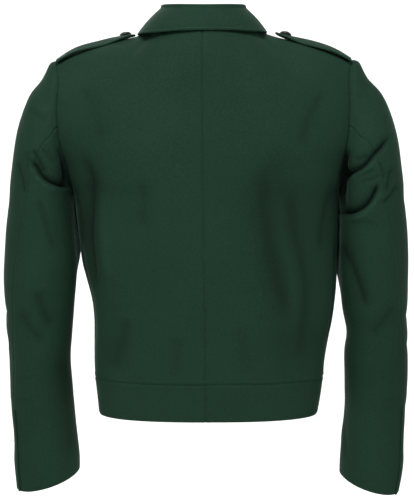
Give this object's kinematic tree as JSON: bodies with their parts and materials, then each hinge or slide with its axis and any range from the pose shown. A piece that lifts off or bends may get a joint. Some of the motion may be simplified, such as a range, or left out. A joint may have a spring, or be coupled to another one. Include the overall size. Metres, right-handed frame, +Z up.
{
  "type": "military blouson",
  "caption": "Waist-length wool uniform blouson in worn form, with fall collar, shoulder straps, two-piece sleeves and a fitted waistband.",
  "frame": {"origin": "middle of the neck opening, where the wearer's neck and shoulders hold the garment up", "axes": "+Z up, +Y towards the wearer's back, +X towards the wearer's left"},
  "size_m": [0.6098, 0.2446, 0.7406],
  "materials": {
    "wool": "fine close wool, deep bottle green, soft nap",
    "button": "dark domed button, satin"
  },
  "bodies": {
    "root": {"back_left": "wool", "back_right": "wool", "front_left": "wool", "front_right": "wool", "sleeve_left_top": "wool", "sleeve_left_under": "wool", "sleeve_right_top": "wool", "sleeve_right_under": "wool", "collar_stand": "wool", "collar_fall": "wool", "waistband_left": "wool", "waistband_right": "wool", "shoulder_strap_left": "wool", "shoulder_strap_right": "wool", "strap_button_left": "button", "strap_button_right": "button"}
  },
  "joints": []
}
